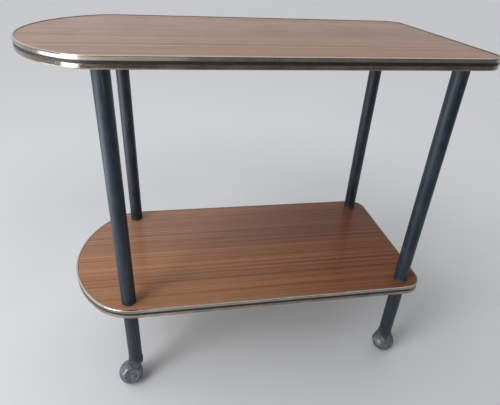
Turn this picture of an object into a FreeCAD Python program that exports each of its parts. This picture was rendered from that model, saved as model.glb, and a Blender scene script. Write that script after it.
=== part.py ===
import FreeCAD, Part
import math
import os

# A two-tier bar cart: two shelves on four tube legs that stand on ball casters.
# Millimetres. +X points to the square end, -X to the bowed end, -Y is the front, +Z is up.
# The origin is on the floor, under the middle of the top shelf's outline.

# ---- shelves ----
TOP_HEIGHT = 637.0            # floor to the top shelf's trim lip
LOWER_HEIGHT = 207.0          # floor to the lower shelf's trim lip
TOP_LEFT = -347.0
TOP_RIGHT = 347.0
TOP_HALF_WIDTH = 174.0
LOWER_LEFT = -323.0
LOWER_RIGHT = 340.0
LOWER_HALF_WIDTH = 160.5
CORNER_RADIUS = 34.0          # the square end's two corners
SHOULDER_RADIUS = 96.0        # where the long sides turn into the bowed end
BOW_RADIUS = 190.0            # the bowed end itself
CORE_THICKNESS = 14.2
LAMINATE_THICKNESS = 0.7
BOARD_THICKNESS = CORE_THICKNESS + 2 * LAMINATE_THICKNESS

# ---- edge trim: an extruded channel with a flexible strip over its nails ----
TRIM_PROUD = 2.2              # how far the trim stands out from the board's edge
TRIM_BACK = 0.9               # wall behind the strip
LIP_PROUD = 0.75              # how far a lip stands above the laminate
LIP_COVER = 1.0               # how far a lip reaches over the core
LIP_ROUND = 0.4
LAMINATE_GAP = 0.15           # between a lip and the laminate's edge
BEAD_RADIUS = 1.3
BEAD_FLAT = 0.6
GROOVE_HALF_HEIGHT = 1.9
GROOVE_SHOULDER = 1.5         # how far the groove's edge stands out
STRIP_BACK = 0.95             # clear of the nails' heads on the bends
STRIP_EDGE = 1.25
STRIP_CROWN = 1.6
TRIM_JOINT_GAP = 0.5          # butt joint in the middle of the square end

NAIL_RADIUS = 0.8
NAIL_HEAD_RADIUS = 1.5
NAIL_HEAD_LENGTH = 0.8
NAIL_LENGTH = 14.0
NAIL_POINT = 2.0
NAIL_COUNT = 18               # nails round each shelf

# ---- legs ----
LEG_X = {"left": -215.0, "right": 302.0}
LEG_Y = {"front": -134.0, "back": 134.0}
TUBE_RADIUS = 12.5
TUBE_WALL = 1.5
TUBE_BORE = TUBE_RADIUS - TUBE_WALL
LEG_END_HEIGHT = 53.5         # the lower tube's bottom end
PLUG_LENGTH = 14.0
STUD_RADIUS = 4.0             # M8
STUD_REACH = 16.0             # how far a stud goes into a plug
STUD_HOLE_RADIUS = 4.3

# ---- plates that hold the legs to the top shelf ----
PLATE_RADIUS = 25.0
PLATE_THICKNESS = 2.5
PLATE_EDGE_CHAMFER = 0.6
PLATE_SCREWS = 3
PLATE_SCREW_CIRCLE = 19.0     # radius of the screws' circle
SCREW_LENGTH = 12.0
SCREW_RADIUS = 1.7
SCREW_HEAD_RADIUS = 3.7
SCREW_HEAD_LENGTH = 2.2
SCREW_POINT = 3.0
SCREW_SLOT_WIDTH = 1.0
SCREW_SLOT_DEPTH = 1.0

# ---- casters ----
BALL_RADIUS = 22.5
TRAIL = 12.0                  # swivel axis to ball centre, level
AXLE_TILT = 28.0              # degrees that the axle rises towards the hood
SEAM_HALF_GAP = 0.25          # half the gap between the rims of hood and wheel
HUB_HALF_GAP = 0.5            # half the gap between their hubs
HOOD_WALL = 2.5
WHEEL_WALL = 3.0
DISH_RADIUS = 12.3            # round dish in the hood, where the axle is riveted
DISH_FLOOR = 17.2             # ball centre to the dish's floor, along the axle
DISH_EDGE_CHAMFER = 0.7
FLOOR_THICKNESS = 2.7         # metal behind the dish and behind the wheel's recess
HUB_RADIUS = 6.5
RECESS_RADIUS = 7.5           # recess in the wheel's crown, round the axle's clip
RECESS_FLOOR = 18.0
RIM_CHAMFER = 0.5
AXLE_RADIUS = 3.0
RIVET_RADIUS = 3.9
RIVET_HEIGHT = 0.5
AXLE_END = 20.2
BUSH_RADIUS = 4.5
BUSH_FLANGE_RADIUS = 6.0
BUSH_FLANGE = 0.7
CLIP_RADIUS = 5.6
CLIP_PROUD = 0.9
RUNNING_GAP = 0.05            # radial, shaft in bore
FACE_GAP = 0.3                # between faces that turn past each other

NECK_RADIUS = 8.0             # the hood's boss round the stem
NECK_BOTTOM = 31.0
NECK_TOP_CHAMFER = 0.8
NECK_FILLET = 2.0
STEM_RADIUS = 4.0
STEM_BOTTOM = 33.0
STEM_TOP = 91.5
STEM_CHAMFER = 1.0
RING_HEIGHT = 81.5            # lower face of the stem's split ring
RING_THICKNESS = 1.2
RING_INNER_RADIUS = 3.3
RING_OUTER_RADIUS = 4.8
RING_SPLIT = 2.0

FERRULE_RADIUS = 13.4
FERRULE_BASE = 2.0
FERRULE_SKIRT = 9.0
SOCKET_LENGTH = 42.0
CHAMBER_RADIUS = 5.3          # widened bore above the socket's neck, for the ring
CHAMBER_BELOW_RING = 1.0

# Which way each ball trails at rest, in degrees from +X.
CASTER_HEADINGS = {"front_left": 190.0, "front_right": 48.0, "back_left": 158.0, "back_right": 74.0}

UP = FreeCAD.Vector(0, 0, 1)
ORIGIN = FreeCAD.Vector(0, 0, 0)


# ---- small geometry helpers ----

def level_direction(degrees):
    """Unit vector in the floor's plane."""
    angle = math.radians(degrees)
    return FreeCAD.Vector(math.cos(angle), math.sin(angle), 0)


def on_circle(centre_u, centre_z, radius, degrees):
    """A point of a section's circle, as (u, z)."""
    angle = math.radians(degrees)
    return (centre_u + radius * math.cos(angle), centre_z + radius * math.sin(angle))


def circle_height(radius, reach):
    """Height of a circle's point that lies at this reach from the middle."""
    return math.sqrt(radius ** 2 - reach ** 2)


def section_face(path):
    """A face in the XZ plane. A step is a point (u, z), or an arc (middle point, end point)."""
    edges = []
    here = path[0]
    for step in path[1:] + [path[0]]:
        is_arc = isinstance(step[0], tuple)
        there = step[1] if is_arc else step
        start = FreeCAD.Vector(here[0], 0, here[1])
        end = FreeCAD.Vector(there[0], 0, there[1])
        if is_arc:
            middle = FreeCAD.Vector(step[0][0], 0, step[0][1])
            edges.append(Part.Arc(start, middle, end).toShape())
        else:
            edges.append(Part.LineSegment(start, end).toShape())
        here = there
    return Part.Face(Part.Wire(edges))


def turned(path):
    """A solid turned about the Z axis from a section, with u as the radius."""
    return section_face(path).revolve(ORIGIN, UP, 360)


def cylinder(radius, bottom, top):
    """A cylinder about the Z axis."""
    return Part.makeCylinder(radius, top - bottom, FreeCAD.Vector(0, 0, bottom))


def tube(outer, inner, bottom, top):
    """A straight tube about the Z axis."""
    return cylinder(outer, bottom, top).cut(cylinder(inner, bottom, top))


def moved(shape, x, y):
    """A copy of the shape, slid along the floor."""
    copy = shape.copy()
    copy.translate(FreeCAD.Vector(x, y, 0))
    return copy


# ---- shelf outline ----

class Straight:
    """A straight stretch of an outline. It runs anticlockwise, and faces the outward angle."""

    def __init__(self, start, end, outward):
        self.start = start
        self.end = end
        self.outward = outward
        self.length = start.distanceToPoint(end)

    def edge(self):
        return Part.LineSegment(self.start, self.end).toShape()

    def station(self, distance):
        return self.start + (self.end - self.start) * (distance / self.length), self.outward

    def sweep(self, section):
        return section.extrude(self.end - self.start)


class Bend:
    """A round stretch of an outline, anticlockwise between two angles about its centre."""

    def __init__(self, centre, radius, first, last):
        self.centre = centre
        self.radius = radius
        self.first = first
        self.last = last
        self.length = math.radians(last - first) * radius

    def point(self, degrees):
        return self.centre + level_direction(degrees) * self.radius

    def edge(self):
        middle = (self.first + self.last) / 2
        return Part.Arc(self.point(self.first), self.point(middle), self.point(self.last)).toShape()

    def station(self, distance):
        angle = self.first + (self.last - self.first) * distance / self.length
        return self.point(angle), angle

    def sweep(self, section):
        return section.revolve(self.centre, UP, self.last - self.first)


def shelf_outline(left, right, half_width, inset):
    """A shelf's outline, moved in by the inset, from the middle of its square end round to it."""
    left = left + inset
    right = right - inset
    half_width = half_width - inset
    corner = CORNER_RADIUS - inset
    shoulder = SHOULDER_RADIUS - inset
    bow = BOW_RADIUS - inset
    corner_x = right - corner
    corner_y = half_width - corner
    shoulder_y = half_width - shoulder
    bow_x = left + bow
    shoulder_x = bow_x - math.sqrt((bow - shoulder) ** 2 - shoulder_y ** 2)
    meeting = math.degrees(math.atan2(shoulder_y, shoulder_x - bow_x))
    at = FreeCAD.Vector
    return [
        Straight(at(right, 0, 0), at(right, corner_y, 0), 0),
        Bend(at(corner_x, corner_y, 0), corner, 0, 90),
        Straight(at(corner_x, half_width, 0), at(shoulder_x, half_width, 0), 90),
        Bend(at(shoulder_x, shoulder_y, 0), shoulder, 90, meeting),
        Bend(at(bow_x, 0, 0), bow, meeting, 360 - meeting),
        Bend(at(shoulder_x, -shoulder_y, 0), shoulder, 360 - meeting, 270),
        Straight(at(shoulder_x, -half_width, 0), at(corner_x, -half_width, 0), 270),
        Bend(at(corner_x, -corner_y, 0), corner, 270, 360),
        Straight(at(right, -corner_y, 0), at(right, 0, 0), 0),
    ]


def slab(outline, bottom, thickness):
    """A flat sheet of the outline's shape."""
    face = Part.Face(Part.Wire([stretch.edge() for stretch in outline]))
    face.translate(UP * bottom)
    return face.extrude(UP * thickness)


def swept_ring(outline, section, height):
    """A section carried round the outline, with u pointing outwards and its middle at the height."""
    pieces = []
    for stretch in outline:
        point, outward = stretch.station(0)
        placed = section.copy()
        placed.rotate(ORIGIN, UP, outward)
        placed.translate(point + UP * height)
        pieces.append(stretch.sweep(placed))
    return pieces[0].fuse(pieces[1:]).removeSplitter()


def even_stations(outline, count):
    """Evenly spaced points of the outline, half a space in from its start, with outward angles."""
    total = sum(stretch.length for stretch in outline)
    stations = []
    for index in range(count):
        distance = total * (index + 0.5) / count
        for stretch in outline:
            if distance <= stretch.length:
                stations.append(stretch.station(distance))
                break
            distance -= stretch.length
    return stations


# ---- edge trim ----

def trim_section():
    """The channel: two lips that grip the core, a bead above and below, and a groove between."""
    lip_inside = CORE_THICKNESS / 2
    lip_outside = BOARD_THICKNESS / 2 + LIP_PROUD
    bead_u = TRIM_PROUD - BEAD_RADIUS
    bead_z = lip_outside - BEAD_RADIUS
    round_u = -LIP_COVER + LIP_ROUND
    round_z = lip_outside - LIP_ROUND
    upper = [
        (-LIP_COVER, lip_inside),
        (-LIP_COVER, round_z),
        (on_circle(round_u, round_z, LIP_ROUND, 135), (round_u, lip_outside)),
        (bead_u, lip_outside),
        (on_circle(bead_u, bead_z, BEAD_RADIUS, 45), (TRIM_PROUD, bead_z)),
        (TRIM_PROUD, bead_z - BEAD_FLAT),
        (GROOVE_SHOULDER, GROOVE_HALF_HEIGHT),
        (TRIM_BACK, GROOVE_HALF_HEIGHT),
    ]
    lower = [
        (TRIM_BACK, -GROOVE_HALF_HEIGHT),
        (GROOVE_SHOULDER, -GROOVE_HALF_HEIGHT),
        (TRIM_PROUD, -bead_z + BEAD_FLAT),
        (TRIM_PROUD, -bead_z),
        (on_circle(bead_u, -bead_z, BEAD_RADIUS, -45), (bead_u, -lip_outside)),
        (round_u, -lip_outside),
        (on_circle(round_u, -round_z, LIP_ROUND, -135), (-LIP_COVER, -round_z)),
        (-LIP_COVER, -lip_inside),
        (0, -lip_inside),
        (0, lip_inside),
    ]
    return section_face(upper + lower)


def strip_section():
    """The strip that fills the groove, with a crowned front."""
    return section_face([
        (STRIP_BACK, GROOVE_HALF_HEIGHT),
        (STRIP_EDGE, GROOVE_HALF_HEIGHT),
        ((STRIP_CROWN, 0), (STRIP_EDGE, -GROOVE_HALF_HEIGHT)),
        (STRIP_BACK, -GROOVE_HALF_HEIGHT),
    ])


def trim_nail():
    """A nail along Z, with its head's face at the groove's floor and its point inwards."""
    neck = TRIM_BACK - NAIL_HEAD_LENGTH
    tip = TRIM_BACK - NAIL_LENGTH
    return turned([
        (0, TRIM_BACK),
        (NAIL_HEAD_RADIUS, TRIM_BACK),
        (NAIL_RADIUS, neck),
        (NAIL_RADIUS, tip + NAIL_POINT),
        (0, tip),
    ])


def trim_nails(outline, height):
    """The nails of one shelf."""
    nails = []
    for point, outward in even_stations(outline, NAIL_COUNT):
        nail = trim_nail()
        nail.rotate(ORIGIN, FreeCAD.Vector(0, 1, 0), 90)
        nail.rotate(ORIGIN, UP, outward)
        nail.translate(point + UP * height)
        nails.append(nail)
    return nails


# ---- shelves ----

def shelf(left, right, half_width, height, through_holes, screws):
    """One shelf's pieces: board, laminate, backing, trim, strip and nails."""
    outline = shelf_outline(left, right, half_width, TRIM_PROUD)
    laminate_inset = TRIM_PROUD + LIP_COVER + LAMINATE_GAP
    laminate_outline = shelf_outline(left, right, half_width, laminate_inset)
    laminate_top = height - LIP_PROUD
    core_top = laminate_top - LAMINATE_THICKNESS
    core_bottom = core_top - CORE_THICKNESS
    middle = core_top - CORE_THICKNESS / 2
    nails = trim_nails(outline, middle)
    joint = Part.makeBox(
        2 * CORNER_RADIUS, TRIM_JOINT_GAP, 2 * BOARD_THICKNESS,
        FreeCAD.Vector(right - CORNER_RADIUS, -TRIM_JOINT_GAP / 2, middle - BOARD_THICKNESS))
    core = slab(outline, core_bottom, CORE_THICKNESS).cut(nails + screws + through_holes)
    laminate = slab(laminate_outline, core_top, LAMINATE_THICKNESS)
    if through_holes:
        laminate = laminate.cut(through_holes)
    backing = slab(laminate_outline, core_bottom - LAMINATE_THICKNESS, LAMINATE_THICKNESS)
    backing = backing.cut(screws + through_holes)
    return {
        "board": core,
        "laminate": laminate,
        "backing": backing,
        "edge_trim": swept_ring(outline, trim_section(), middle).cut(nails + [joint]),
        "trim_strip": swept_ring(outline, strip_section(), middle).cut(joint),
        "trim_nails": Part.makeCompound(nails),
    }


# ---- legs ----

def plug(bottom):
    """A threaded plug, pressed into the end of a tube."""
    return tube(TUBE_BORE, STUD_RADIUS, bottom, bottom + PLUG_LENGTH)


def plate_screw():
    """A slotted wood screw that points up, with its head's face at zero."""
    return turned([
        (0, 0),
        (SCREW_HEAD_RADIUS, 0),
        (SCREW_RADIUS, SCREW_HEAD_LENGTH),
        (SCREW_RADIUS, SCREW_LENGTH - SCREW_POINT),
        (0, SCREW_LENGTH),
    ])


def screw_slot():
    """The slot in a screw's head."""
    return Part.makeBox(
        3 * SCREW_HEAD_RADIUS, SCREW_SLOT_WIDTH, SCREW_SLOT_DEPTH,
        FreeCAD.Vector(-1.5 * SCREW_HEAD_RADIUS, -SCREW_SLOT_WIDTH / 2, 0))


def plate_screw_places(plate_bottom):
    """Where one plate's screws go, about the leg's axis."""
    places = []
    for index in range(PLATE_SCREWS):
        direction = level_direction(90 + index * 360 / PLATE_SCREWS)
        places.append(direction * PLATE_SCREW_CIRCLE + UP * plate_bottom)
    return places


def leg_plate(plate_bottom, screws):
    """A round plate with a threaded stud welded under it."""
    top = plate_bottom + PLATE_THICKNESS
    plate = turned([
        (0, plate_bottom - STUD_REACH),
        (STUD_RADIUS, plate_bottom - STUD_REACH),
        (STUD_RADIUS, plate_bottom),
        (PLATE_RADIUS - PLATE_EDGE_CHAMFER, plate_bottom),
        (PLATE_RADIUS, plate_bottom + PLATE_EDGE_CHAMFER),
        (PLATE_RADIUS, top),
        (0, top),
    ])
    return plate.cut(screws)


def caster_socket():
    """A ferrule over the tube's end, in one piece with the sleeve that holds the caster's stem."""
    base = LEG_END_HEIGHT - FERRULE_BASE
    sleeve_top = LEG_END_HEIGHT + SOCKET_LENGTH
    skirt_top = LEG_END_HEIGHT + FERRULE_SKIRT
    chamber = RING_HEIGHT - CHAMBER_BELOW_RING
    bore = STEM_RADIUS + RUNNING_GAP
    return turned([
        (bore, base),
        (FERRULE_RADIUS - RIM_CHAMFER, base),
        (FERRULE_RADIUS, base + RIM_CHAMFER),
        (FERRULE_RADIUS, skirt_top - RIM_CHAMFER),
        (FERRULE_RADIUS - RIM_CHAMFER, skirt_top),
        (TUBE_RADIUS, skirt_top),
        (TUBE_RADIUS, LEG_END_HEIGHT),
        (TUBE_BORE, LEG_END_HEIGHT),
        (TUBE_BORE, sleeve_top),
        (CHAMBER_RADIUS, sleeve_top),
        (CHAMBER_RADIUS, chamber),
        (bore, chamber),
    ])


# ---- casters: turned pieces stand on the axle, with +Z towards the hood's crown ----

def onto_axle(shape):
    """Moves a piece from its own axis to the tilted axle, in the caster's frame."""
    placed = shape.copy()
    placed.rotate(ORIGIN, FreeCAD.Vector(1, 0, 0), AXLE_TILT - 90)
    placed.translate(FreeCAD.Vector(TRAIL, 0, BALL_RADIUS))
    return placed


def hood_shell():
    """A hollow half ball with a dished crown and a boss inside for the axle."""
    cavity_radius = BALL_RADIUS - HOOD_WALL
    cavity_top = DISH_FLOOR - FLOOR_THICKNESS
    edge_reach = DISH_RADIUS + DISH_EDGE_CHAMFER
    edge_top = circle_height(BALL_RADIUS, edge_reach)
    return turned([
        (AXLE_RADIUS, HUB_HALF_GAP),
        (HUB_RADIUS, HUB_HALF_GAP),
        (HUB_RADIUS, cavity_top),
        (circle_height(cavity_radius, cavity_top), cavity_top),
        (on_circle(0, 0, cavity_radius, 25), (circle_height(cavity_radius, SEAM_HALF_GAP), SEAM_HALF_GAP)),
        (circle_height(BALL_RADIUS, SEAM_HALF_GAP), SEAM_HALF_GAP),
        (on_circle(0, 0, BALL_RADIUS, 30), (edge_reach, edge_top)),
        (DISH_RADIUS, edge_top - DISH_EDGE_CHAMFER),
        (DISH_RADIUS, DISH_FLOOR),
        (AXLE_RADIUS, DISH_FLOOR),
    ])


def above_seam():
    """The room on the hood's side of the seam."""
    size = 4 * BALL_RADIUS
    room = Part.makeBox(size, size, size, FreeCAD.Vector(-size / 2, -size / 2, SEAM_HALF_GAP))
    return onto_axle(room)


def hood(neck_top):
    """The caster's hood, with the neck that takes the stem."""
    neck = cylinder(NECK_RADIUS, NECK_BOTTOM, neck_top)
    body = onto_axle(hood_shell()).fuse(neck.common(above_seam())).removeSplitter()
    outer = [edge for edge in body.Edges if is_neck_root(edge)]
    body = body.makeFillet(NECK_FILLET, outer)
    rim = [edge for edge in body.Edges if edge.BoundBox.ZMin > neck_top - NECK_TOP_CHAMFER / 2]
    body = body.makeChamfer(NECK_TOP_CHAMFER, rim)
    return body.cut(cylinder(STEM_RADIUS, STEM_BOTTOM, neck_top))


def is_neck_root(edge):
    """True for the line round the neck, where it meets the outside of the ball."""
    centre = FreeCAD.Vector(TRAIL, 0, BALL_RADIUS)
    for parameter in (edge.FirstParameter, (edge.FirstParameter + edge.LastParameter) / 2):
        point = edge.valueAt(parameter)
        from_neck = abs(math.hypot(point.x, point.y) - NECK_RADIUS)
        from_ball = abs(point.distanceToPoint(centre) - BALL_RADIUS)
        if from_neck > RUNNING_GAP or from_ball > RUNNING_GAP:
            return False
    return True


def stem():
    """The pin that swivels in the leg's socket, with a groove for its split ring."""
    ring_top = RING_HEIGHT + RING_THICKNESS
    return turned([
        (0, STEM_BOTTOM),
        (STEM_RADIUS, STEM_BOTTOM),
        (STEM_RADIUS, RING_HEIGHT),
        (RING_INNER_RADIUS, RING_HEIGHT),
        (RING_INNER_RADIUS, ring_top),
        (STEM_RADIUS, ring_top),
        (STEM_RADIUS, STEM_TOP - STEM_CHAMFER),
        (STEM_RADIUS - STEM_CHAMFER, STEM_TOP),
        (0, STEM_TOP),
    ])


def stem_ring():
    """The split ring that keeps the stem in its socket."""
    ring = tube(RING_OUTER_RADIUS, RING_INNER_RADIUS, RING_HEIGHT, RING_HEIGHT + RING_THICKNESS)
    split = Part.makeBox(
        2 * RING_OUTER_RADIUS, RING_SPLIT, 2 * RING_THICKNESS,
        FreeCAD.Vector(0, -RING_SPLIT / 2, RING_HEIGHT - RING_THICKNESS / 2))
    return ring.cut(split)


def axle():
    """The axle, riveted over in the hood's dish."""
    rivet_top = DISH_FLOOR + RIVET_HEIGHT
    crown_radius = (RIVET_RADIUS ** 2 + RIVET_HEIGHT ** 2) / (2 * RIVET_HEIGHT)
    crown_centre = rivet_top - crown_radius
    edge_angle = math.degrees(math.atan2(DISH_FLOOR - crown_centre, RIVET_RADIUS))
    crown_middle = on_circle(0, crown_centre, crown_radius, (edge_angle + 90) / 2)
    return turned([
        (0, -AXLE_END),
        (AXLE_RADIUS, -AXLE_END),
        (AXLE_RADIUS, DISH_FLOOR),
        (RIVET_RADIUS, DISH_FLOOR),
        (crown_middle, (0, rivet_top)),
    ])


def axle_clip():
    """The push-on disc that keeps the wheel on its axle."""
    far = -RECESS_FLOOR - FACE_GAP
    return tube(CLIP_RADIUS, AXLE_RADIUS, far - CLIP_PROUD, far)


def wheel():
    """A hollow half ball that rolls on its outside, with a recess in its crown."""
    cavity_radius = BALL_RADIUS - WHEEL_WALL
    cavity_end = -RECESS_FLOOR + FLOOR_THICKNESS
    face = -SEAM_HALF_GAP
    return turned([
        (BUSH_RADIUS, -HUB_HALF_GAP),
        (HUB_RADIUS, -HUB_HALF_GAP),
        (HUB_RADIUS, cavity_end),
        (circle_height(cavity_radius, cavity_end), cavity_end),
        (on_circle(0, 0, cavity_radius, -25), (circle_height(cavity_radius, face), face)),
        (BALL_RADIUS - RIM_CHAMFER, face),
        (circle_height(BALL_RADIUS, face - RIM_CHAMFER), face - RIM_CHAMFER),
        (on_circle(0, 0, BALL_RADIUS, -35), (RECESS_RADIUS, -circle_height(BALL_RADIUS, RECESS_RADIUS))),
        (RECESS_RADIUS, -RECESS_FLOOR),
        (BUSH_RADIUS, -RECESS_FLOOR),
    ])


def wheel_bush():
    """The flanged bush in the wheel's hub."""
    bore = AXLE_RADIUS + RUNNING_GAP
    face = -HUB_HALF_GAP
    return turned([
        (bore, face + BUSH_FLANGE),
        (BUSH_FLANGE_RADIUS, face + BUSH_FLANGE),
        (BUSH_FLANGE_RADIUS, face),
        (BUSH_RADIUS, face),
        (BUSH_RADIUS, -RECESS_FLOOR),
        (bore, -RECESS_FLOOR),
    ])


def caster():
    """One caster's pieces about its swivel axis, trailing towards +X."""
    neck_top = LEG_END_HEIGHT - FERRULE_BASE - FACE_GAP
    return {
        "caster_hood": hood(neck_top),
        "caster_stem": stem(),
        "caster_stem_ring": stem_ring(),
        "caster_axle": onto_axle(axle()),
        "caster_axle_clip": onto_axle(axle_clip()),
        "caster_wheel": onto_axle(wheel()),
        "caster_wheel_bush": onto_axle(wheel_bush()),
    }


# ---- the whole cart ----

def cart():
    """Every node's shape, by name."""
    top_underside = TOP_HEIGHT - LIP_PROUD - BOARD_THICKNESS
    lower_surface = LOWER_HEIGHT - LIP_PROUD
    lower_underside = lower_surface - BOARD_THICKNESS
    plate_bottom = top_underside - PLATE_THICKNESS
    legs = {}
    for side, y in LEG_Y.items():
        for end, x in LEG_X.items():
            legs[side + "_" + end] = (x, y)

    screws = []
    solid_screws = []
    plugs = []
    studs = []
    stud_holes = []
    nodes = {}
    caster_pieces = caster()
    for leg, (x, y) in legs.items():
        leg_screws = []
        for place in plate_screw_places(plate_bottom):
            screw = plate_screw()
            screw.translate(place)
            leg_screws.append(screw)
            slotted = plate_screw().cut(screw_slot())
            slotted.translate(place)
            screws.append(moved(slotted, x, y))
        solid_screws += [moved(screw, x, y) for screw in leg_screws]
        nodes["leg_plate_" + leg] = moved(leg_plate(plate_bottom, leg_screws), x, y)
        upper = tube(TUBE_RADIUS, TUBE_BORE, lower_surface, plate_bottom)
        nodes["upper_leg_" + leg] = moved(upper, x, y)
        lower = tube(TUBE_RADIUS, TUBE_BORE, LEG_END_HEIGHT, lower_underside)
        nodes["lower_leg_" + leg] = moved(lower, x, y)
        nodes["caster_socket_" + leg] = moved(caster_socket(), x, y)
        for bottom in (plate_bottom - PLUG_LENGTH, lower_surface, lower_underside - PLUG_LENGTH):
            plugs.append(moved(plug(bottom), x, y))
        stud = cylinder(STUD_RADIUS, lower_underside - STUD_REACH, lower_surface + STUD_REACH)
        studs.append(moved(stud, x, y))
        hole = cylinder(STUD_HOLE_RADIUS, lower_underside - 1, lower_surface + 1)
        stud_holes.append(moved(hole, x, y))
        for name, shape in caster_pieces.items():
            piece = shape.copy()
            piece.rotate(ORIGIN, UP, CASTER_HEADINGS[leg])
            nodes[name + "_" + leg] = moved(piece, x, y)

    nodes["leg_plate_screws"] = Part.makeCompound(screws)
    nodes["leg_plugs"] = Part.makeCompound(plugs)
    nodes["joining_studs"] = Part.makeCompound(studs)
    top = shelf(TOP_LEFT, TOP_RIGHT, TOP_HALF_WIDTH, TOP_HEIGHT, [], solid_screws)
    lower = shelf(LOWER_LEFT, LOWER_RIGHT, LOWER_HALF_WIDTH, LOWER_HEIGHT, stud_holes, [])
    for name, shape in top.items():
        nodes["top_" + name] = shape
    for name, shape in lower.items():
        nodes["lower_" + name] = shape
    return nodes


os.makedirs("parts", exist_ok=True)
for node, node_shape in cart().items():
    node_shape.exportStep("parts/" + node + ".step")
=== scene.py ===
"""The looks of a two-tier bar cart: walnut-grain shelves, metal edge trim, black legs and ball casters."""
import math

import bpy
from mathutils import Matrix, Vector


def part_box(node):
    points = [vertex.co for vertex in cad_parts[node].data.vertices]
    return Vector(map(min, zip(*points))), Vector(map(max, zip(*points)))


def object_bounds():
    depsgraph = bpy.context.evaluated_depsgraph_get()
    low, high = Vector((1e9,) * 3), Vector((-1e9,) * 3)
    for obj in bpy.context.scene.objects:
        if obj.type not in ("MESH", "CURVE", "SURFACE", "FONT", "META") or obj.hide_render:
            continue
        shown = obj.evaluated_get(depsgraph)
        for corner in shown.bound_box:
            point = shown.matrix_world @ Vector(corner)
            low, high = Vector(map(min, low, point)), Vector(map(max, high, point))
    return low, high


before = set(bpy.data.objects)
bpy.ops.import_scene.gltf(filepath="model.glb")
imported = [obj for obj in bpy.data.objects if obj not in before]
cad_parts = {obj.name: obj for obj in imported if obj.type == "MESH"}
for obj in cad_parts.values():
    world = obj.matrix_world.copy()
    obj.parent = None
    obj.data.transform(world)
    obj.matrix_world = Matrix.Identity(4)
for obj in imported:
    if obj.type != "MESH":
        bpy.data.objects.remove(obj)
CAD_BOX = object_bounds()

CORNERS = ("front_left", "front_right", "back_left", "back_right")
SHELVES = ("top", "lower")


# ---------------------------------------------------------------- materials


def paint(red, green, blue):
    """A colour as a screen shows it, 0 to 255, as the linear values that a shader takes."""
    linear = [
        c / 12.92 if c <= 0.04045 else ((c + 0.055) / 1.055) ** 2.4
        for c in (red / 255, green / 255, blue / 255)
    ]
    return (*linear, 1.0)


SCRATCH_EDGE = 0.02  # how soft a scratch's edge is, in the noise it is cut from
VEIN_EDGE = 0.07  # the same for a printed line


class Nodes:
    """A node tree, and short calls that add nodes to it."""

    def __init__(self, tree, coordinates):
        self.tree = tree
        self.place = self.node("ShaderNodeTexCoord").outputs[coordinates]

    def put(self, socket, value):
        if isinstance(value, bpy.types.NodeSocket):
            self.tree.links.new(value, socket)
        else:
            socket.default_value = value

    def node(self, kind, values=None, **settings):
        made = self.tree.nodes.new(kind)
        for name, value in settings.items():
            setattr(made, name, value)
        for socket, value in (values or {}).items():
            self.put(made.inputs[socket], value)
        return made

    def vector(self, operation, *values):
        return self.node("ShaderNodeVectorMath", dict(enumerate(values)), operation=operation)

    def number(self, operation, *values):
        return self.node("ShaderNodeMath", dict(enumerate(values)), operation=operation).outputs[0]

    def stretched(self, place, *per_metre):
        """A pattern at this place repeats about per_metre times in a metre, along X, Y and Z."""
        return self.vector("MULTIPLY", place, per_metre).outputs[0]

    def turned(self, place, *degrees):
        turns = tuple(math.radians(d) for d in degrees)
        return self.node("ShaderNodeMapping", {"Vector": place, "Rotation": turns}).outputs[0]

    def noise(self, place, scale=1.0, detail=2.0, roughness=0.5, distortion=0.0):
        values = {"Vector": place, "Scale": scale, "Detail": detail, "Roughness": roughness}
        return self.node("ShaderNodeTexNoise", {**values, "Distortion": distortion}).outputs["Fac"]

    def sum(self, a, b):
        return self.number("ADD", a, b)

    def times(self, a, b):
        return self.number("MULTIPLY", a, b)

    def step(self, value, low, high, start=0.0, end=1.0):
        """Goes smoothly from start to end as value goes from low to high."""
        values = {"Value": value, "From Min": low, "From Max": high, "To Min": start, "To Max": end}
        return self.node("ShaderNodeMapRange", values, interpolation_type="SMOOTHSTEP").outputs["Result"]

    def ramp(self, value, *stops):
        """Each stop is a value and its colour, the lowest first."""
        made = self.node("ShaderNodeValToRGB", {"Fac": value})
        elements = made.color_ramp.elements
        for element, (position, colour) in zip(elements, (stops[0], stops[-1])):
            element.position = position
            element.color = colour
        for position, colour in stops[1:-1]:
            elements.new(position).color = colour
        return made.outputs["Color"]

    def mix(self, share, a, b, blend="MIX"):
        made = self.node("ShaderNodeMix", data_type="RGBA", blend_type=blend)
        for index, value in ((0, share), (6, a), (7, b)):
            self.put(made.inputs[index], value)
        return made.outputs[2]

    def split(self, place):
        """The X, Y and Z of a place."""
        return self.node("ShaderNodeSeparateXYZ", {0: place}).outputs


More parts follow.
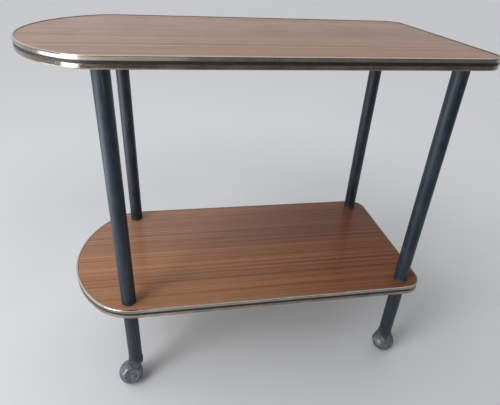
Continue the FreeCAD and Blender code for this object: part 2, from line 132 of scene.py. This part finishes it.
class Finish(Nodes):
    """One material. Its patterns are sized in metres. On a CAD node they lie in the cart's frame at rest."""

    def __init__(self, name, metallic=0.0, ior=1.5):
        self.material = bpy.data.materials.new(name)
        self.material.use_nodes = True
        super().__init__(self.material.node_tree, "Object")
        self.shader = self.tree.nodes["Principled BSDF"]
        self.shader.inputs["Metallic"].default_value = metallic
        self.shader.inputs["IOR"].default_value = ior

    def bump(self, height, depth, normal=None):
        """depth is how far the surface rises, in metres, as height goes from 0 to 1."""
        values = {"Height": height, "Distance": depth, "Strength": 1.0}
        if normal is not None:
            values["Normal"] = normal
        return self.node("ShaderNodeBump", values).outputs["Normal"]

    def height_above(self, level):
        return self.sum(self.split(self.place)["Z"], -level)

    def inward(self, centre):
        """How far the surface faces the upright line through the centre, from -1 to 1."""
        facing = self.node("ShaderNodeTexCoord").outputs["Normal"]
        offset = self.vector("SUBTRACT", tuple(centre), self.place).outputs[0]
        level = self.stretched(offset, 1.0, 1.0, 0.0)
        towards = self.vector("NORMALIZE", level).outputs[0]
        return self.vector("DOT_PRODUCT", facing, towards).outputs["Value"]

    def scratches(self, turn, along, across, cut):
        """Thin lines, each about 1/along long and 1/across wide, in metres. A higher cut leaves fewer."""
        lines = self.noise(self.stretched(self.turned(self.place, *turn), along, across, across), detail=0.0)
        return self.step(lines, cut, cut + SCRATCH_EDGE)

    def done(self, colour, roughness, normal=None):
        self.put(self.shader.inputs["Base Color"], colour)
        self.put(self.shader.inputs["Roughness"], roughness)
        if normal is not None:
            self.put(self.shader.inputs["Normal"], normal)
        return self.material


# Long thin lines in the printed walnut: repeats in a metre along, across and through, cut, strength, colour.
VEINS = (
    (0.4, 130.0, 11.0, 0.68, 0.42, (84, 54, 42)),
    (0.25, 60.0, 15.0, 0.68, 0.3, (88, 60, 50)),
    (0.8, 210.0, 13.0, 0.66, 0.28, (92, 60, 46)),
    (0.4, 90.0, 17.0, 0.68, 0.22, (204, 162, 126)),
)
GRAIN_SWAY = 0.014  # m, how far the grain wanders to the sides
BETWEEN_SHELVES = (0.30, 0.34)  # m, any height above the lower shelf and below the top one
# The lower shelf's laminate is painted greyer towards its back and darker towards its square end: painted
# shade from the top shelf above it.
PAINTED_SHADE_TOWARDS_BACK = (-0.06, 0.1)  # m along Y, on the lower shelf
PAINTED_SHADE_TOWARDS_END = (-0.15, 0.33)  # m along X, on the lower shelf


def walnut_laminate():
    """Printed walnut under a semi-gloss melamine face.

    The grain runs along X, and the two shelves are cut from different sheets.
    """
    f = Finish("walnut_laminate", ior=1.55)
    layer = 10.0  # makes the grain differ from shelf to shelf
    drift = f.noise(f.stretched(f.place, 1.6, 2.2, layer), detail=2.0)
    sway = f.node("ShaderNodeCombineXYZ", {"Y": f.times(f.sum(drift, -0.5), GRAIN_SWAY)}).outputs[0]
    grain = f.vector("ADD", f.place, sway).outputs[0]
    bands = f.noise(f.stretched(grain, 0.35, 30.0, layer), detail=1.0)
    stripes = f.noise(f.stretched(grain, 0.5, 170.0, layer), detail=1.0)
    streaks = f.noise(f.stretched(grain, 1.2, 340.0, layer), detail=1.0)
    fibres = f.noise(f.stretched(grain, 12.0, 1500.0, layer), detail=2.0)
    wide = f.sum(f.times(bands, 0.18), f.times(stripes, 0.27))
    narrow = f.sum(f.times(streaks, 0.35), f.times(fibres, 0.20))
    colour = f.ramp(
        f.sum(wide, narrow),
        (0.35, paint(126, 83, 58)),
        (0.45, paint(151, 103, 74)),
        (0.50, paint(163, 114, 82)),
        (0.56, paint(175, 126, 92)),
        (0.67, paint(195, 146, 109)),
    )
    warmth = f.noise(f.stretched(grain, 0.9, 11.0, layer), detail=1.0)
    colour = f.mix(f.step(warmth, 0.46, 0.62, 0.0, 0.35), colour, paint(172, 118, 72))
    colour = f.mix(f.step(warmth, 0.42, 0.30, 0.0, 0.3), colour, paint(128, 92, 78))
    for along, across, through, cut, strength, tint in VEINS:
        lines = f.noise(f.stretched(grain, along, across, through), detail=0.0)
        colour = f.mix(f.times(f.step(lines, cut, cut + VEIN_EDGE), strength), colour, paint(*tint))
    place = f.split(f.place)
    lower_sheet = f.step(place["Z"], *BETWEEN_SHELVES, 1.0, 0.0)
    # Painted shade on the lower shelf: greyer towards its back, darker towards its square end.
    painted_shade_back = f.times(lower_sheet, f.step(place["Y"], *PAINTED_SHADE_TOWARDS_BACK, 0.0, 0.3))
    colour = f.mix(painted_shade_back, colour, paint(136, 112, 106))
    painted_shade_end = f.times(lower_sheet, f.step(place["X"], *PAINTED_SHADE_TOWARDS_END))
    colour = f.mix(painted_shade_end, colour, paint(206, 182, 174), "MULTIPLY")
    pores = f.step(f.noise(f.stretched(grain, 50.0, 2400.0, layer), detail=1.0), 0.60, 0.72, 0.0, 0.4)
    colour = f.mix(pores, colour, paint(72, 45, 34))
    smears = f.noise(f.place, 14.0, 3.0)
    rubs = f.scratches((0, 0, 23), 22.0, 2600.0, 0.74)
    roughness = f.sum(f.step(smears, 0.35, 0.7, 0.17, 0.25), f.times(rubs, 0.2))
    relief = f.bump(f.sum(fibres, f.times(pores, -1.0)), 0.000012)
    return f.done(colour, roughness, relief)


def backing_sheet():
    """Plain brown balancing paper, matt, with faint sanding marks, stains and dust."""
    f = Finish("backing_sheet")
    fibre = f.noise(f.stretched(f.place, 260.0, 1500.0, 300.0), detail=3.0, roughness=0.65)
    clouds = f.noise(f.place, 9.0, 4.0, 0.6)
    colour = f.ramp(
        f.sum(f.times(fibre, 0.4), f.times(clouds, 0.6)),
        (0.36, paint(84, 62, 46)),
        (0.50, paint(108, 82, 61)),
        (0.64, paint(128, 101, 77)),
    )
    stains = f.step(f.noise(f.place, 23.0, 2.0, 0.5, 1.2), 0.62, 0.72, 0.0, 0.35)
    colour = f.mix(stains, colour, paint(60, 44, 34))
    return f.done(colour, f.step(fibre, 0.3, 0.7, 0.62, 0.8), f.bump(fibre, 0.00004))


def board_core():
    """Pressed chipboard: pale flakes in darker glue."""
    f = Finish("board_core")
    flakes = f.node("ShaderNodeTexVoronoi", {"Vector": f.place, "Scale": 420.0}).outputs["Color"]
    shade = f.node("ShaderNodeRGBToBW", {0: flakes}).outputs[0]
    colour = f.ramp(shade, (0.2, paint(128, 96, 62)), (0.5, paint(170, 138, 98)), (0.8, paint(202, 174, 132)))
    return f.done(colour, 0.85, f.bump(shade, 0.0002))


LIP_RUBBED_AND_HIGHLIGHT = (0.0009, 0.0003)  # m below the lip's top, where the rubbing and painted highlight start and where they are full
GROOVE_PAINTED_SHADE = (0.0019, 0.0032)  # m from the trim's middle height, where the painted shade is full and where it ends


def edge_trim(shelf):
    """Champagne anodised aluminium: dull brown-grey faces, lips rubbed and painted bright as a highlight,
    painted shade in the corners.
    """
    low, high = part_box(f"{shelf}_edge_trim")
    centre = (low + high) / 2
    laminate_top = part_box(f"{shelf}_laminate")[1].z
    f = Finish(f"edge_trim_{shelf}", metallic=1.0)
    lines = f.noise(f.stretched(f.place, 5.0, 5.0, 3200.0), detail=2.0, roughness=0.6)
    bloom = f.noise(f.place, 26.0, 4.0, 0.6)
    colour = f.ramp(
        bloom,
        (0.34, paint(150, 139, 125)),
        (0.50, paint(166, 155, 141)),
        (0.66, paint(180, 170, 157)),
    )
    level = f.height_above(centre.z)
    lip_top = high.z - centre.z
    # The lip's top is rubbed, and painted brighter there as a highlight.
    rubbed = f.step(level, lip_top - LIP_RUBBED_AND_HIGHLIGHT[0], lip_top - LIP_RUBBED_AND_HIGHLIGHT[1])
    colour = f.mix(f.times(rubbed, 0.9), colour, paint(236, 228, 214))
    freckles = f.step(f.noise(f.place, 420.0, 2.0, 0.5, 0.4), 0.66, 0.74, 0.0, 0.5)
    colour = f.mix(freckles, colour, paint(112, 92, 70))
    # Painted shade: darker beside the groove, and on the lip's inner face above the laminate.
    beside_groove = f.step(f.number("ABSOLUTE", level), *GROOVE_PAINTED_SHADE, 1.0, 0.0)
    corner_painted_shade = f.times(beside_groove, f.step(bloom, 0.3, 0.6, 0.35, 0.85))
    inner_side = f.step(f.inward(centre), 0.2, 0.6)
    up_the_lip = f.step(level, laminate_top - centre.z, lip_top, 1.0, 0.6)
    corner_painted_shade = f.number("MAXIMUM", corner_painted_shade, f.times(inner_side, up_the_lip))
    colour = f.mix(corner_painted_shade, colour, paint(50, 42, 34))
    nicks = f.scratches((0, 0, 31), 120.0, 2100.0, 0.76)
    roughness = f.sum(f.step(bloom, 0.35, 0.65, 0.13, 0.22), f.times(f.sum(corner_painted_shade, nicks), 0.3))
    relief = f.bump(lines, 0.000006)
    relief = f.bump(nicks, -0.00004, relief)
    return f.done(colour, roughness, relief)


def trim_strip():
    """Black vinyl with a little dust."""
    f = Finish("trim_strip")
    dust = f.noise(f.place, 180.0, 4.0, 0.65)
    colour = f.ramp(dust, (0.4, paint(22, 21, 20)), (0.6, paint(34, 32, 30)), (0.75, paint(74, 69, 62)))
    ripple = f.noise(f.stretched(f.place, 60.0, 60.0, 500.0), detail=2.0)
    return f.done(colour, f.step(dust, 0.35, 0.7, 0.38, 0.6), f.bump(ripple, 0.00006))


def black_enamel(name, worn_foot, wear_reach):
    """Satin blue-black enamel on steel, rubbed grey from the height worn_foot up to wear_reach above it."""
    f = Finish(name, ior=1.47)
    mottle = f.noise(f.place, 38.0, 4.0, 0.6)
    colour = f.ramp(mottle, (0.36, paint(22, 31, 41)), (0.5, paint(28, 39, 51)), (0.66, paint(37, 49, 61)))
    peel = f.noise(f.place, 700.0, 2.0)
    dust = f.step(f.noise(f.place, 1500.0, 2.0, 0.6), 0.66, 0.76, 0.0, 0.4)
    colour = f.mix(dust, colour, paint(122, 126, 130))
    scuffs = f.scratches((0, 90, 0), 28.0, 900.0, 0.74)
    colour = f.mix(f.times(scuffs, 0.45), colour, paint(104, 108, 112))
    worn = f.step(f.height_above(worn_foot), 0.0, wear_reach, 1.0, 0.0)
    rubbed = f.times(worn, f.step(mottle, 0.42, 0.6, 0.1, 0.6))
    colour = f.mix(rubbed, colour, paint(92, 96, 101))
    roughness = f.sum(f.step(mottle, 0.35, 0.65, 0.38, 0.46), f.times(f.sum(dust, scuffs), 0.2))
    relief = f.bump(peel, 0.00002)
    relief = f.bump(scuffs, -0.00003, relief)
    return f.done(colour, roughness, relief)


def zinc_steel():
    """Zinc-plated steel with a dull bloom and a few brown specks."""
    f = Finish("zinc_steel", metallic=1.0)
    bloom = f.noise(f.place, 240.0, 4.0, 0.6)
    colour = f.ramp(bloom, (0.35, paint(142, 143, 144)), (0.65, paint(186, 187, 188)))
    specks = f.step(f.noise(f.place, 900.0, 2.0), 0.64, 0.74, 0.0, 0.7)
    colour = f.mix(specks, colour, paint(110, 78, 52))
    return f.done(colour, f.step(bloom, 0.35, 0.65, 0.32, 0.5), f.bump(bloom, 0.00003))


def worn_shell(name, dark, pale, rubbed, metal):
    """Gunmetal caster shell: scratched, rubbed pale where it knocks into things, dull with dirt elsewhere."""
    f = Finish(name, metallic=metal)
    f.shader.inputs["Specular Tint"].default_value = paint(130, 132, 134)
    mottle = f.noise(f.place, 120.0, 5.0, 0.65)
    colour = f.ramp(mottle, (0.36, dark), (0.64, pale))
    knocks = f.step(f.noise(f.place, 62.0, 5.0, 0.7, 0.6), 0.54, 0.66, 0.0, 0.5)
    colour = f.mix(knocks, colour, rubbed)
    coarse = f.scratches((20, 35, 50), 70.0, 1500.0, 0.70)
    fine = f.scratches((-40, 15, -25), 160.0, 3600.0, 0.68)
    marks = f.times(f.sum(coarse, fine), 0.6)
    colour = f.mix(marks, colour, rubbed)
    dirt = f.step(f.noise(f.place, 210.0, 4.0, 0.6), 0.56, 0.68, 0.0, 0.35)
    colour = f.mix(dirt, colour, paint(60, 60, 60))
    roughness = f.sum(f.step(mottle, 0.35, 0.65, 0.22, 0.34), f.times(dirt, 0.3))
    relief = f.bump(mottle, 0.00006)
    relief = f.bump(marks, -0.00005, relief)
    return f.done(colour, roughness, relief)


def nylon():
    """Natural nylon, a little yellowed."""
    f = Finish("nylon")
    shade = f.noise(f.place, 300.0, 3.0)
    colour = f.ramp(shade, (0.4, paint(196, 188, 168)), (0.6, paint(216, 210, 194)))
    return f.done(colour, 0.5, f.bump(shade, 0.00002))


FLOOR_PALER = (0.5, 1.4)  # m from the cart's middle, where the floor starts to get paler and where it is full


def pale_floor():
    """A plain pale studio floor."""
    f = Finish("pale_floor")
    tone = f.noise(f.place, 2.5, 4.0)
    near = f.ramp(tone, (0.3, paint(215, 216, 217)), (0.7, paint(221, 222, 223)))
    away = f.vector("LENGTH", f.place).outputs["Value"]
    colour = f.mix(f.step(away, *FLOOR_PALER), near, paint(239, 239, 240))
    return f.done(colour, f.step(tone, 0.3, 0.7, 0.5, 0.6), f.bump(f.noise(f.place, 160.0, 3.0), 0.00005))


UPPER_LEG_WEAR = 0.012  # m up from the lower shelf
LOWER_LEG_WEAR = 0.02  # m up from the tube's foot


def finish_node(name, material):
    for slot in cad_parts[name].material_slots:
        slot.material = material


def finish_nodes():
    """Every CAD node gets its finish."""
    laminate, backing, core = walnut_laminate(), backing_sheet(), board_core()
    strip, steel, bush = trim_strip(), zinc_steel(), nylon()
    for shelf in SHELVES:
        finish_node(f"{shelf}_laminate", laminate)
        finish_node(f"{shelf}_backing", backing)
        finish_node(f"{shelf}_board", core)
        finish_node(f"{shelf}_edge_trim", edge_trim(shelf))
        finish_node(f"{shelf}_trim_strip", strip)
        finish_node(f"{shelf}_trim_nails", steel)
    shelf_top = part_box("lower_laminate")[1].z
    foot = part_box(f"lower_leg_{CORNERS[0]}")[0].z
    upper = black_enamel("black_enamel_upper", shelf_top, UPPER_LEG_WEAR)
    lower = black_enamel("black_enamel_lower", foot, LOWER_LEG_WEAR)
    hood = worn_shell("caster_hood", paint(102, 107, 112), paint(134, 140, 144), paint(174, 178, 180), 0.6)
    wheel = worn_shell("caster_wheel", paint(90, 95, 99), paint(120, 125, 129), paint(162, 166, 168), 0.5)
    for corner in CORNERS:
        finish_node(f"upper_leg_{corner}", upper)
        finish_node(f"lower_leg_{corner}", lower)
        finish_node(f"caster_socket_{corner}", lower)
        finish_node(f"leg_plate_{corner}", steel)
        finish_node(f"caster_hood_{corner}", hood)
        finish_node(f"caster_wheel_{corner}", wheel)
        finish_node(f"caster_wheel_bush_{corner}", bush)
        finish_node(f"caster_axle_{corner}", hood)
        for part in ("stem", "stem_ring", "axle_clip"):
            finish_node(f"caster_{part}_{corner}", steel)
    for fasteners in ("leg_plate_screws", "leg_plugs", "joining_studs"):
        finish_node(fasteners, steel)


# ---------------------------------------------------------------- floor, light and camera

# Places and sizes are in metres.
FLOOR_RADIUS = 40.0
WINDOW_PLACE = Vector((-1.35, -0.95, 0.98))
WINDOW_SIZE = (0.7, 1.5)
WINDOW_WATTS = 20.0
WINDOW_COLOUR = (0.95, 0.975, 1.0)

# The room as the camera sees it
ROOM_SEEN = (0.58, 0.575, 0.58, 1.0)

# The room as glossy surfaces reflect it
LEFT_WALL = (0.60, 0.60, 0.61, 1.0)
RIGHT_WALL = (0.43, 0.43, 0.425, 1.0)
CEILING = (0.75, 0.75, 0.75, 1.0)
CEILING_LEFT_BEHIND = (0.62, 0.62, 0.63, 1.0)
CEILING_RIGHT_BEHIND = (0.12, 0.12, 0.12, 1.0)
ROOM_IN_FRONT = (0.17, 0.15, 0.145, 1.0)

# The room as it lights the cart and the floor
SOFT_LIGHT = (1.8, 1.82, 1.88, 1.0)
SOFT_LIGHT_FROM = Vector((-0.62, -0.05, 0.78))
SHADE = (0.20, 0.207, 0.218, 1.0)
SHADE_BEHIND = (0.68, 0.685, 0.695, 1.0)

# Where one part of the room turns into the next, read on one axis of a direction one unit long: X goes left
# to right, Y front to back and Z up. The soft light's pair is read along SOFT_LIGHT_FROM.
SHADE_TO_BACK = (-0.1, 0.3)
SOFT_LIGHT_EDGE = (0.77, 0.985)
LEFT_TO_RIGHT = (-0.35, 0.45)
LEFT_WALL_TO_FRONT = (-0.8, -0.5)
FRONT_TO_WALL = (-0.1, 0.25)
CEILING_TO_BACK = (0.2, 0.45)
WALL_TO_CEILING = (0.4, 0.65)

CARD_LIFT = 0.001  # above the floor
DARK_CARD_LEFT = -0.1  # its left edge's X
DARK_CARD_BACK = -0.5  # its back edge's Y
DARK_CARD_REACH = 12.0
PALE_CARD_MIDDLE = (-1.65, -0.4)
PALE_CARD_REACH = 1.3
PALE_CARD_GLOW = 5.0
PALE_CARD_COLOUR = (220, 233, 252)
CARD_PAINT_ROUGHNESS = 0.9

CAMERA_PLACE = Vector((-0.1283, -0.7069, 0.7530))
CAMERA_YAW = math.radians(11.07)  # from +Y towards +X
CAMERA_PITCH = math.radians(29.74)  # below level
CAMERA_ROLL = math.radians(2.97)
CAMERA_LENS = 30.44
CAMERA_SHIFT = (0.009, -0.0225)


def floor():
    bpy.ops.mesh.primitive_circle_add(vertices=96, radius=FLOOR_RADIUS, fill_type="NGON")
    made = bpy.context.object
    made.name = "floor"
    made.location.z = CAD_BOX[0].z
    made.data.materials.append(pale_floor())


def window():
    """One large soft light, as from a window at the front left."""
    light = bpy.data.lights.new("window", "AREA")
    light.shape = "RECTANGLE"
    light.size, light.size_y = WINDOW_SIZE
    light.energy = WINDOW_WATTS
    light.color = WINDOW_COLOUR
    made = bpy.data.objects.new("window", light)
    made.location = WINDOW_PLACE
    middle = (CAD_BOX[0] + CAD_BOX[1]) / 2
    made.rotation_euler = (middle - WINDOW_PLACE).to_track_quat("-Z", "Y").to_euler()
    made.visible_camera = False
    bpy.context.scene.collection.objects.link(made)


def room():
    """A plain pale room, lit from the upper left. Reflections show it pale behind the cart, dark in front."""
    world = bpy.data.worlds.new("room")
    bpy.context.scene.world = world
    world.use_nodes = True
    n = Nodes(world.node_tree, "Generated")
    towards = n.split(n.place)
    nearness = n.vector("DOT_PRODUCT", n.place, SOFT_LIGHT_FROM).outputs["Value"]
    shade = n.mix(n.step(towards["Y"], *SHADE_TO_BACK), SHADE, SHADE_BEHIND)
    light = n.mix(n.step(nearness, *SOFT_LIGHT_EDGE), shade, SOFT_LIGHT)
    wall = n.mix(n.step(towards["X"], *LEFT_TO_RIGHT), LEFT_WALL, RIGHT_WALL)
    in_front = n.mix(n.step(towards["X"], *LEFT_WALL_TO_FRONT), LEFT_WALL, ROOM_IN_FRONT)
    around = n.mix(n.step(towards["Y"], *FRONT_TO_WALL), in_front, wall)
    ceiling_behind = n.mix(n.step(towards["X"], *LEFT_TO_RIGHT), CEILING_LEFT_BEHIND, CEILING_RIGHT_BEHIND)
    ceiling = n.mix(n.step(towards["Y"], *CEILING_TO_BACK), CEILING, ceiling_behind)
    reflected = n.mix(n.step(towards["Z"], *WALL_TO_CEILING), around, ceiling)
    ray = n.node("ShaderNodeLightPath").outputs
    met = n.mix(ray["Is Glossy Ray"], light, reflected)
    met = n.mix(ray["Is Camera Ray"], met, ROOM_SEEN)
    n.put(n.tree.nodes["Background"].inputs["Color"], met)


def card(f, name, middle, reach):
    """A square card lying on the floor. Only reflections show it, and its underside is clear even to them."""
    underside = f.node("ShaderNodeNewGeometry").outputs["Backfacing"]
    f.put(f.shader.inputs["Alpha"], f.sum(1.0, f.times(underside, -1.0)))
    place = Vector((*middle, CAD_BOX[0].z + CARD_LIFT))
    bpy.ops.mesh.primitive_grid_add(size=reach, location=place)
    made = bpy.context.object
    made.name = name
    made.data.materials.append(f.material)
    for kind in ("camera", "diffuse", "shadow", "transmission"):
        setattr(made, f"visible_{kind}", False)


def dark_card():
    """In front of the cart. It is dark, and a little less so in its left half."""
    f = Finish("dark_card")
    across = f.step(f.split(f.place)["X"], 0.0, DARK_CARD_REACH / 4)
    middle = (DARK_CARD_LEFT + DARK_CARD_REACH / 2, DARK_CARD_BACK - DARK_CARD_REACH / 2)
    f.done(f.mix(across, paint(142, 144, 147), paint(84, 91, 102)), CARD_PAINT_ROUGHNESS)
    card(f, "dark_card", middle, DARK_CARD_REACH)


def pale_card():
    """At the left, as bright as a patch of window light on a floor."""
    f = Finish("pale_card")
    f.shader.inputs["Emission Color"].default_value = paint(*PALE_CARD_COLOUR)
    f.shader.inputs["Emission Strength"].default_value = PALE_CARD_GLOW
    f.done(paint(230, 230, 230), CARD_PAINT_ROUGHNESS)
    card(f, "pale_card", PALE_CARD_MIDDLE, PALE_CARD_REACH)


def camera():
    data = bpy.data.cameras.new("camera")
    data.lens = CAMERA_LENS
    data.shift_x, data.shift_y = CAMERA_SHIFT
    made = bpy.data.objects.new("camera", data)
    made.matrix_world = (
        Matrix.Translation(CAMERA_PLACE)
        @ Matrix.Rotation(-CAMERA_YAW, 4, "Z")
        @ Matrix.Rotation(math.pi / 2 - CAMERA_PITCH, 4, "X")
        @ Matrix.Rotation(CAMERA_ROLL, 4, "Z")
    )
    bpy.context.scene.collection.objects.link(made)
    bpy.context.scene.camera = made


finish_nodes()
floor()
window()
room()
dark_card()
pale_card()
camera()
bpy.context.scene.view_settings.view_transform = "Standard"
